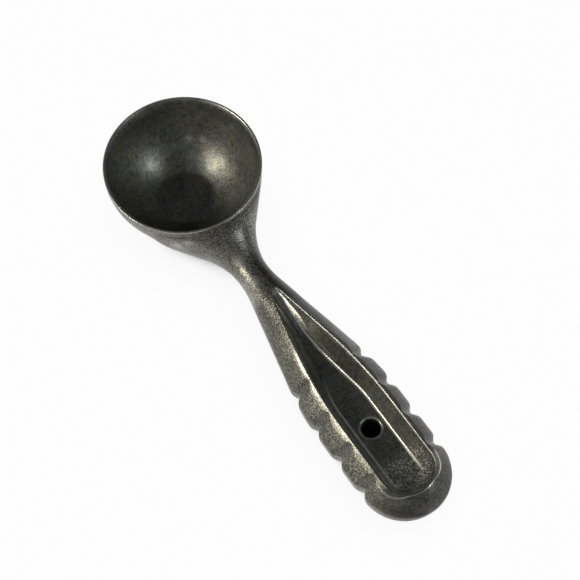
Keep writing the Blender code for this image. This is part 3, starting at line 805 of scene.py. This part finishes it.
def surface_shares(rings, inside_rows, grip_rows):
    x, y, z = rings[..., 0], rings[..., 1], rings[..., 2]
    hollow, wear_and_highlight, tone_and_painted_light = np.zeros_like(x), np.zeros_like(x), outside_painted_light(x, y, z)
    cup = slice(0, inside_rows + 1)
    paint_cup_wear_and_light(rings[cup], hollow[cup], wear_and_highlight[cup], tone_and_painted_light[cup])
    along = x[-grip_rows:, RIM_LINE : RIM_LINE + 1]
    paint(hollow[-grip_rows:], 0.0, TROUGH_HOLLOW, along)
    # Painted highlights and painted light and shade, in stripes along the trough.
    paint(wear_and_highlight[-grip_rows:], 0.0, TROUGH_PAINTED_HIGHLIGHTS, along)
    paint(tone_and_painted_light[-grip_rows:], 1.0, TROUGH_PAINTED_LIGHT, along)

    def nearness(place_x, place_y, place_z, radius):
        away = (x - place_x) ** 2 + (y - place_y) ** 2 + (z - place_z) ** 2
        return np.exp(-away / radius**2)

    # Nicks that show bare metal, and highlights painted as bare metal on the flare and neck.
    for *place, radius, amount in MARKS_AND_HIGHLIGHTS:
        near = nearness(*place, radius)
        wear_and_highlight = np.maximum(wear_and_highlight, amount * near)
        tone_and_painted_light *= 1.0 + amount * near
    # Patches of painted light and shade, which also move the cup's highlights.
    for *place, radius, amount in PAINTED_LIGHT_PATCHES:
        tone_and_painted_light *= 1.0 + amount * nearness(*place, radius)
    grainy = mix(follow(x, GRAIN_OUTSIDE), GRAIN_IN_HOLLOWS, hollow)
    low = 1.0 - ease(z, TROUGH_FLOOR_HEIGHT + PITTED_ABOVE_FLOOR, TROUGH_RIM_HEIGHT - PITTED_BELOW_RIM)
    pitted = hollow * ease(x, *PITTED_ALONG) * low
    return {"hollow": hollow, "wear_and_highlight": wear_and_highlight, "pitted": pitted, "tone_and_painted_light": tone_and_painted_light, "grainy": grainy}


def skin_mesh():
    """The whole casting as one closed mesh."""
    station_count = round((TROUGH_END_CENTRE - NECK_DISTANCE) / GRIP_STEP)
    grip = [grip_ring(x) for x in np.linspace(NECK_DISTANCE, TROUGH_END_CENTRE, station_count)]
    turns = np.linspace(0.0, math.pi / 2.0, END_TURNS + 1)[1:]
    grip += [grip_ring(TROUGH_END_CENTRE, turn) for turn in turns]
    angles = ring_angles(grip[0])
    inside = cup_rings(angles)
    rings = np.array(inside + flare_rings(angles) + grip)
    row_count, line_count = rings.shape[:2]

    mesh = bpy.data.meshes.new("scoop_casting")
    index = np.arange(row_count * line_count).reshape(row_count, line_count)
    after = np.roll(index, -1, axis=1)
    faces = np.stack((index[:-1], after[:-1], after[1:], index[1:]), axis=-1).reshape(-1, 4)
    mesh.from_pydata((rings.reshape(-1, 3) * MM).tolist(), [], faces.tolist())

    for name, shares in surface_shares(rings, len(inside), len(grip)).items():
        shown = mesh.attributes.new(name, "FLOAT", "POINT")
        shown.data.foreach_set("value", shares.ravel().astype(np.float32))
    return mesh


def hole_cutter():
    """Turned cutter for the hang hole, whose upper end leaves a rounded edge in the trough's floor."""
    top = TROUGH_FLOOR_HEIGHT
    rounding = [
        (HOLE_RADIUS + HOLE_EDGE_RADIUS * (1.0 - math.cos(t)), top - HOLE_EDGE_RADIUS * (1.0 - math.sin(t)))
        for t in np.radians(np.linspace(0.0, 90.0, HOLE_EDGE_STEPS))
    ]
    low, high = -HOLE_CUTTER_MARGIN, top + HOLE_CUTTER_MARGIN
    profile = [(0.0, low), (HOLE_RADIUS, low)] + rounding + [(rounding[-1][0], high), (0.0, high)]
    around = np.linspace(0.0, 2.0 * math.pi, HOLE_STEPS, endpoint=False)
    points = [(HOLE_DISTANCE + r * math.cos(a), r * math.sin(a), z) for r, z in profile for a in around]
    faces = []
    for i in range(0, len(points) - HOLE_STEPS, HOLE_STEPS):
        for j in range(HOLE_STEPS):
            after = (j + 1) % HOLE_STEPS
            faces.append((i + j, i + after, i + HOLE_STEPS + after, i + HOLE_STEPS + j))
    mesh = bpy.data.meshes.new("hang_hole")
    mesh.from_pydata((np.array(points) * MM).tolist(), [], faces)
    return mesh


def cleaned(mesh):
    """Welds the points that fall together and turns all faces outward."""
    work = bmesh.new()
    work.from_mesh(mesh)
    bmesh.ops.remove_doubles(work, verts=work.verts, dist=WELD_DISTANCE * MM)
    bmesh.ops.dissolve_degenerate(work, edges=work.edges, dist=SHORTEST_EDGE * MM)
    bmesh.ops.recalc_face_normals(work, faces=work.faces)
    work.to_mesh(mesh)
    work.free()
    return mesh


# Paints the hang hole's rounded edge as a highlight; the wall is left black as painted shade.
def paint_hole_edge_highlight(mesh):
    places = np.empty(len(mesh.vertices) * 3, np.float32)
    mesh.vertices.foreach_get("co", places)
    x, y, z = places.reshape(-1, 3).T / MM
    out = np.hypot(x - HOLE_DISTANCE, y)
    on_edge = out > HOLE_RADIUS + HOLE_WALL_MARGIN
    on_edge &= out < HOLE_RADIUS + HOLE_EDGE_RADIUS + HOLE_EDGE_MARGIN
    on_edge &= z > TROUGH_FLOOR_HEIGHT - HOLE_EDGE_RADIUS - HOLE_EDGE_MARGIN
    for name, level in HOLE_EDGE_HIGHLIGHT.items():
        shares = np.empty(len(x), np.float32)
        mesh.attributes[name].data.foreach_get("value", shares)
        shares[on_edge] = level
        mesh.attributes[name].data.foreach_set("value", shares)


def make_casting():
    casting = bpy.data.objects.new("scoop_casting", cleaned(skin_mesh()))
    cutter = bpy.data.objects.new("hang_hole", cleaned(hole_cutter()))
    for made in (casting, cutter):
        bpy.context.scene.collection.objects.link(made)
    cut = casting.modifiers.new("hang hole", "BOOLEAN")
    cut.operation = "DIFFERENCE"
    cut.solver = "EXACT"
    cut.object = cutter
    bpy.context.view_layer.update()
    seen = casting.evaluated_get(bpy.context.evaluated_depsgraph_get())
    whole = bpy.data.meshes.new_from_object(seen)
    casting.modifiers.clear()
    casting.data = whole
    paint_hole_edge_highlight(whole)
    bpy.data.objects.remove(cutter)
    whole.shade_smooth()
    whole.set_sharp_from_angle(angle=math.radians(SHARP_ANGLE))
    return casting


class Shading:
    """Short forms for the nodes of one material or world."""

    def __init__(self, tree):
        self.tree = tree
        self.place = tree.nodes.new("ShaderNodeTexCoord")

    def link(self, output, input_socket):
        self.tree.links.new(output, input_socket)

    def set_inputs(self, node, inputs):
        for key, value in inputs.items():
            if isinstance(value, bpy.types.NodeSocket):
                self.link(value, node.inputs[key])
            else:
                node.inputs[key].default_value = value
        return node

    def noise(self, size, detail, roughness, seed):
        """Noise whose features are about size millimetres across, from 0 to 1."""
        node = self.tree.nodes.new("ShaderNodeTexNoise")
        node.noise_dimensions = "4D"
        inputs = {"Vector": self.place.outputs["Object"], "W": seed, "Scale": 1.0 / (size * MM)}
        inputs.update({"Detail": detail, "Roughness": roughness})
        return self.set_inputs(node, inputs).outputs["Fac"]

    def specks(self, size, radius):
        """Round specks on a grid of about size millimetres: 1 in the middle, 0 from radius outwards."""
        node = self.tree.nodes.new("ShaderNodeTexVoronoi")
        inputs = {"Vector": self.place.outputs["Object"], "Scale": 1.0 / (size * MM)}
        distance = self.set_inputs(node, inputs).outputs["Distance"]
        return self.spread(distance, radius, radius * PIT_CORE, 0.0, 1.0)

    def share(self, name):
        node = self.tree.nodes.new("ShaderNodeAttribute")
        node.attribute_name = name
        return node.outputs["Fac"]

    def maths(self, operation, first, second=0.0, third=0.0):
        node = self.tree.nodes.new("ShaderNodeMath")
        node.operation = operation
        return self.set_inputs(node, {0: first, 1: second, 2: third}).outputs[0]

    def total(self, start, *parts):
        """start plus each (amount, weight), with every amount counted from its middle, 0.5."""
        for amount, weight in parts:
            centred = self.maths("SUBTRACT", amount, 0.5)
            start = self.maths("MULTIPLY_ADD", centred, weight, start)
        return start

    def spread(self, value, low, high, to_low, to_high):
        node = self.tree.nodes.new("ShaderNodeMapRange")
        return self.set_inputs(node, {0: value, 1: low, 2: high, 3: to_low, 4: to_high}).outputs[0]

    def blend(self, share, first, second, mode="MIX"):
        node = self.tree.nodes.new("ShaderNodeMix")
        node.data_type = "RGBA"
        node.blend_type = mode
        return self.set_inputs(node, {0: share, 6: first, 7: second}).outputs[2]


def aluminium():
    """Worn cast aluminium: a speckled grey oxide skin, darker in the hollows, bright on worn edges and
    painted highlights, and paler and darker in places as painted light and shade.
    """
    made = bpy.data.materials.new("worn_cast_aluminium")
    made.use_nodes = True
    shader = made.node_tree.nodes["Principled BSDF"]
    use = Shading(made.node_tree)
    hollow, wear_and_highlight, pitted = use.share("hollow"), use.share("wear_and_highlight"), use.share("pitted")
    mottle, blotch = use.noise(*MOTTLE), use.noise(*BLOTCH)
    grain, dust = use.noise(*GRAIN), use.noise(*DUST)

    fine = use.total(0.0, (grain, IN_COLOUR["grain"]), (dust, IN_COLOUR["dust"]))
    bare = use.total(BARE_SHARE, (mottle, IN_COLOUR["mottle"]), (blotch, IN_COLOUR["blotch"]))
    bare = use.maths("MULTIPLY_ADD", fine, use.share("grainy"), bare)
    skin = use.blend(bare, OXIDE, BARE_METAL)
    # Paleness, mostly painted light and shade, scales the colour.
    skin = use.blend(1.0, skin, use.share("tone_and_painted_light"), "MULTIPLY")
    grime = use.blend(use.spread(use.noise(*TINT), *TINT_RANGE), GRIME_COOL, GRIME_WARM)
    skin = use.blend(hollow, skin, use.blend(1.0, skin, grime, "MULTIPLY"))
    pits = use.maths("MULTIPLY", use.specks(PIT_SIZE, PIT_RADIUS), use.spread(blotch, *PITS_BY_BLOTCH))
    skin = use.blend(pits, skin, OXIDE)
    flecks = use.spread(use.noise(*FLECKS), *FLECK_RANGE)
    skin = use.blend(use.maths("MULTIPLY", flecks, pitted), skin, BRIGHT_METAL)
    # Rubbed metal and painted highlights turn bright.
    wear_and_highlight_share = use.maths("MULTIPLY", wear_and_highlight, use.spread(blotch, *WEAR_AND_HIGHLIGHT_BY_BLOTCH))
    skin = use.blend(wear_and_highlight_share, skin, BRIGHT_METAL)
    use.link(skin, shader.inputs["Base Color"])

    calm = use.spread(wear_and_highlight, *CALM_BY_WEAR_AND_HIGHLIGHT)
    rough = use.maths("MULTIPLY", use.total(0.0, (grain, IN_ROUGHNESS["grain"])), calm)
    rough = use.total(use.maths("ADD", rough, MEAN_ROUGHNESS), (mottle, IN_ROUGHNESS["mottle"]))
    for name, share in (("hollow", hollow), ("pitted", pitted), ("wear_and_highlight", wear_and_highlight)):
        rough = use.maths("MULTIPLY_ADD", share, IN_ROUGHNESS[name], rough)
    use.link(rough, shader.inputs["Roughness"])
    shader.inputs["Metallic"].default_value = METALLIC

    fine = use.total(0.0, (grain, IN_HEIGHT["grain"]), (dust, IN_HEIGHT["dust"]))
    height = use.maths("MULTIPLY", fine, calm)
    height = use.total(height, (mottle, IN_HEIGHT["mottle"]), (blotch, IN_HEIGHT["blotch"]))
    height = use.maths("MULTIPLY_ADD", pits, IN_HEIGHT["pits"], height)
    height = use.maths("MULTIPLY_ADD", use.maths("MULTIPLY", grain, pitted), IN_HEIGHT["pitted"], height)
    bump = made.node_tree.nodes.new("ShaderNodeBump")
    use.set_inputs(bump, {"Strength": 1.0, "Distance": BUMP_DEPTH * MM, "Height": height})
    use.link(bump.outputs["Normal"], shader.inputs["Normal"])
    return made


def add_camera():
    place, target = Vector(CAMERA_PLACE) * MM, Vector(CAMERA_TARGET) * MM
    data = bpy.data.cameras.new("camera")
    data.lens = CAMERA_LENS
    data.sensor_width = SENSOR_WIDTH
    data.shift_x = -HALF_PIXEL
    data.shift_y = HALF_PIXEL
    data.clip_start = CAMERA_NEAREST * MM
    camera = bpy.data.objects.new("camera", data)
    bpy.context.scene.collection.objects.link(camera)
    level = (target - place).to_track_quat("-Z", "Y").to_matrix().to_4x4()
    roll = Matrix.Rotation(math.radians(CAMERA_ROLL), 4, "Z")
    camera.matrix_world = Matrix.Translation(place) @ level @ roll
    bpy.context.scene.camera = camera


def add_softbox(name, azimuth, elevation, width, height, power, colour):
    """Rectangular lamp that faces the middle of the scoop."""
    data = bpy.data.lights.new(name, "AREA")
    data.shape = "RECTANGLE"
    data.size = width
    data.size_y = height
    data.energy = power
    data.color = colour
    lamp = bpy.data.objects.new(name, data)
    bpy.context.scene.collection.objects.link(lamp)
    a, e = math.radians(azimuth), math.radians(elevation)
    toward = Vector((math.cos(a) * math.cos(e), math.sin(a) * math.cos(e), math.sin(e)))
    lamp.location = Vector(SOFTBOX_TARGET) + toward * SOFTBOX_DISTANCE
    lamp.rotation_euler = toward.to_track_quat("Z", "Y").to_euler()


def floor_white():
    """White that glows for the camera and in reflections, apart from where the scoop covers it, with a
    painted shadow under the hang hole.
    """
    white = bpy.data.materials.new("floor_white")
    white.use_nodes = True
    nodes = white.node_tree.nodes
    use = Shading(white.node_tree)
    shader = nodes["Principled BSDF"]
    shader.inputs["Base Color"].default_value = FLOOR_COLOUR
    shader.inputs["Roughness"].default_value = FLOOR_ROUGHNESS
    open_sky = nodes.new("ShaderNodeAmbientOcclusion")
    open_sky.samples = SHADOW_SAMPLES
    open_sky.inputs["Distance"].default_value = SHADOW_REACH * MM
    covered = use.spread(open_sky.outputs["AO"], *COVERED_RANGE)
    faint = use.spread(open_sky.outputs["AO"], *FAINT_RANGE)
    # Painted shadow under the hang hole: the floor glows less near it.
    from_hole = nodes.new("ShaderNodeVectorMath")
    from_hole.operation = "DISTANCE"
    use.set_inputs(from_hole, {0: use.place.outputs["Object"], 1: (HOLE_DISTANCE * MM, 0.0, 0.0)})
    painted_shadow_under_hole = use.spread(from_hole.outputs["Value"], *PAINTED_SHADOW_UNDER_HOLE_RANGE)
    glow = nodes.new("ShaderNodeEmission")
    strength = use.maths("MULTIPLY", use.maths("ADD", covered, faint), painted_shadow_under_hole)
    use.link(strength, glow.inputs["Strength"])
    path = nodes.new("ShaderNodeLightPath")
    seen = use.maths("MAXIMUM", path.outputs["Is Camera Ray"], path.outputs["Is Glossy Ray"])
    seen = use.maths("MAXIMUM", seen, path.outputs["Is Transmission Ray"])
    either = nodes.new("ShaderNodeMixShader")
    use.set_inputs(either, {0: seen, 1: shader.outputs[0], 2: glow.outputs[0]})
    use.link(either.outputs[0], nodes["Material Output"].inputs["Surface"])
    return white


def add_stage():
    mesh = bpy.data.meshes.new("floor")
    sides = ((-1, -1), (1, -1), (1, 1), (-1, 1))
    corners = [(x * FLOOR_HALF_SIZE, FLOOR_ASIDE + y * FLOOR_HALF_SIZE, 0.0) for x, y in sides]
    mesh.from_pydata(corners, [], [(0, 1, 2, 3)])
    mesh.materials.append(floor_white())
    floor = bpy.data.objects.new("floor", mesh)
    bpy.context.scene.collection.objects.link(floor)


def light_scene():
    """Two softboxes in a dark studio that grows paler towards the horizon, and glows high on the left."""
    for name, facts in SOFTBOXES.items():
        add_softbox(name, *facts)
    world = bpy.data.worlds.new("studio")
    bpy.context.scene.world = world
    world.use_nodes = True
    nodes = world.node_tree.nodes
    use = Shading(world.node_tree)
    direction = nodes.new("ShaderNodeSeparateXYZ")
    use.link(use.place.outputs["Generated"], direction.inputs[0])
    ramp = nodes.new("ShaderNodeValToRGB")
    stops = ramp.color_ramp.elements
    while len(stops) < len(SKY_STOPS):
        stops.new(0.5)
    for stop, (height, level) in zip(stops, SKY_STOPS):
        stop.position = height
        stop.color = (level, level, level, 1.0)
    use.link(direction.outputs["Z"], ramp.inputs[0])
    left = use.spread(direction.outputs["Y"], *SKY_LEFT_RANGE)
    high = use.spread(direction.outputs["Z"], *SKY_HIGH_RANGE)
    strength = use.maths("MULTIPLY_ADD", left, high, ramp.outputs["Color"])
    nodes["Background"].inputs["Color"].default_value = SKY_COLOUR
    use.link(strength, nodes["Background"].inputs["Strength"])


casting = make_casting()
casting.data.materials.clear()
casting.data.materials.append(aluminium())
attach(casting, "root")
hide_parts("bowl", "neck", "grip")
add_camera()
add_stage()
light_scene()
bpy.context.scene.view_settings.view_transform = "Standard"
